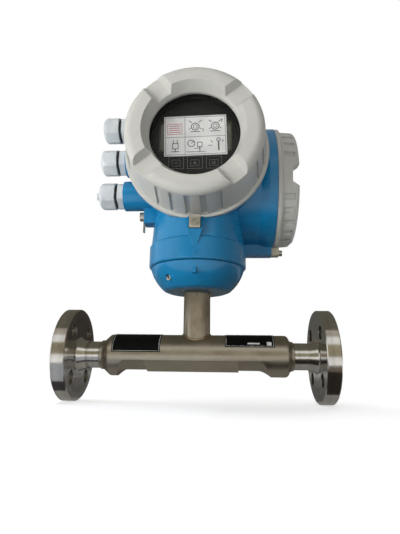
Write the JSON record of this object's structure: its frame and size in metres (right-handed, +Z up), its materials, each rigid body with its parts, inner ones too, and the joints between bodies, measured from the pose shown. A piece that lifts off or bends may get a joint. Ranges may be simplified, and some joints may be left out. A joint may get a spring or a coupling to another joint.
{
  "type": "coriolis flow meter",
  "caption": "Straight-tube mass flow meter with round end flanges and a neck-mounted transmitter housing with a window cover, a side terminal cover and cable glands.",
  "frame": {"origin": "centre of the inlet flange's sealing face, on the pipe axis", "axes": "+X along the pipe in the flow direction, +Z up through the neck to the transmitter, -Y towards the display's front"},
  "size_m": [0.281, 0.1995, 0.339],
  "materials": {
    "flange_steel": "turned, satin",
    "body_steel": "blasted, satin",
    "tube_steel": "drawn, smooth",
    "screw_steel": "machined",
    "clamp_steel": "cast, satin",
    "copper_coil": "enamelled wire",
    "magnet": "nickelled",
    "name_plate": "satin film",
    "blue_paint": "smooth powder coat",
    "grey_paint": "smooth powder coat",
    "seal_rubber": "matt",
    "wire": "smooth",
    "cable_sheath": "smooth",
    "board": "solder mask",
    "black_plastic": "fine grain",
    "terminal_plastic": "smooth",
    "zinc_plate": "passivated",
    "glass_seal": "fired glass",
    "window": "polished",
    "screen": "glossy",
    "card": "printed paper",
    "gland_plastic": "smooth"
  },
  "bodies": {
    "sensor": {"inlet_flange": "flange_steel", "outlet_flange": "flange_steel", "sensor_body": "body_steel", "saddle_cover": "body_steel", "measuring_tube": "tube_steel", "balance_tube": "tube_steel", "coupling_rings": "tube_steel", "drive_coil": "copper_coil", "drive_magnet": "magnet", "pickup_coils": "copper_coil", "pickup_magnets": "magnet", "temperature_sensors": "black_plastic", "sensor_harness": "wire", "inlet_plate": "name_plate", "outlet_plate": "name_plate", "neck_tube": "body_steel", "neck_flange": "tube_steel", "neck_screws": "screw_steel", "feedthrough": "glass_seal", "adapter_cone": "blue_paint", "set_screws": "screw_steel"},
    "transmitter": {"transmitter_housing": "blue_paint", "base_seal": "seal_rubber", "sensor_cable": "cable_sheath", "board_frame": "black_plastic", "power_board": "board", "amplifier_board": "board", "output_board": "board", "display_holder": "black_plastic", "terminal_plate": "zinc_plate", "terminal_blocks": "terminal_plastic", "display_clamp": "clamp_steel", "terminal_clamp": "clamp_steel", "clamp_screws": "screw_steel", "ground_screw": "screw_steel", "ground_lug": "screw_steel", "gland_bodies": "gland_plastic", "gland_inserts": "seal_rubber", "gland_plug": "gland_plastic"},
    "display_seal": {"display_cover_seal": "seal_rubber"},
    "display_cover": {"display_cover": "grey_paint", "window_glass": "window", "window_ring": "zinc_plate"},
    "terminal_seal": {"terminal_cover_seal": "seal_rubber"},
    "terminal_cover": {"terminal_cover": "grey_paint"},
    "display_module": {"display_module": "black_plastic", "screen": "screen", "touch_keys": "black_plastic", "display_card": "card"},
    "gland_ring_1": {"gland_ring_1": "seal_rubber"},
    "gland_cap_1": {"gland_cap_1": "gland_plastic"},
    "gland_ring_2": {"gland_ring_2": "seal_rubber"},
    "gland_cap_2": {"gland_cap_2": "gland_plastic"},
    "gland_ring_3": {"gland_ring_3": "seal_rubber"},
    "gland_cap_3": {"gland_cap_3": "gland_plastic"}
  },
  "joints": [
    {"name": "housing_turn", "type": "hinge", "parent": "sensor", "child": "transmitter", "pos_m": [0.1405, 0, 0.092], "axis": [0, 0, 1], "range_deg": [-180, 180]},
    {"name": "display_seal_travel", "type": "slide", "parent": "transmitter", "child": "display_seal", "axis": [0, -1, 0], "range_m": [0, 0.00905]},
    {"name": "display_cover_turn", "type": "hinge", "parent": "display_seal", "child": "display_cover", "pos_m": [0.1405, -0.04, 0.214], "axis": [0, -1, 0], "range_deg": [0, 1080]},
    {"name": "terminal_seal_travel", "type": "slide", "parent": "transmitter", "child": "terminal_seal", "axis": [1, 0, 0], "range_m": [0, 0.00905]},
    {"name": "terminal_cover_turn", "type": "hinge", "parent": "terminal_seal", "child": "terminal_cover", "pos_m": [0.2275, 0.034, 0.2], "axis": [1, 0, 0], "range_deg": [0, 1080]},
    {"name": "display_module_turn", "type": "hinge", "parent": "transmitter", "child": "display_module", "pos_m": [0.1405, -0.05, 0.214], "axis": [0, -1, 0], "range_deg": [-180, 180]},
    {"name": "gland_ring_1_travel", "type": "slide", "parent": "transmitter", "child": "gland_ring_1", "axis": [-1, 0, 0], "range_m": [0, 0.00305]},
    {"name": "gland_cap_1_turn", "type": "hinge", "parent": "gland_ring_1", "child": "gland_cap_1", "pos_m": [0.05, -0.018, 0.255], "axis": [-1, 0, 0], "range_deg": [0, 720]},
    {"name": "gland_ring_2_travel", "type": "slide", "parent": "transmitter", "child": "gland_ring_2", "axis": [-1, 0, 0], "range_m": [0, 0.00305]},
    {"name": "gland_cap_2_turn", "type": "hinge", "parent": "gland_ring_2", "child": "gland_cap_2", "pos_m": [0.05, -0.018, 0.214], "axis": [-1, 0, 0], "range_deg": [0, 720]},
    {"name": "gland_ring_3_travel", "type": "slide", "parent": "transmitter", "child": "gland_ring_3", "axis": [-1, 0, 0], "range_m": [0, 0.00305]},
    {"name": "gland_cap_3_turn", "type": "hinge", "parent": "gland_ring_3", "child": "gland_cap_3", "pos_m": [0.05, -0.018, 0.173], "axis": [-1, 0, 0], "range_deg": [0, 720]}
  ],
  "couplings": [
    {"joint": "display_seal_travel", "follows": "display_cover_turn", "m_per_rad": 0.00047746},
    {"joint": "terminal_seal_travel", "follows": "terminal_cover_turn", "m_per_rad": 0.00047746},
    {"joint": "gland_ring_1_travel", "follows": "gland_cap_1_turn", "m_per_rad": 0.00023873},
    {"joint": "gland_ring_2_travel", "follows": "gland_cap_2_turn", "m_per_rad": 0.00023873},
    {"joint": "gland_ring_3_travel", "follows": "gland_cap_3_turn", "m_per_rad": 0.00023873}
  ]
}
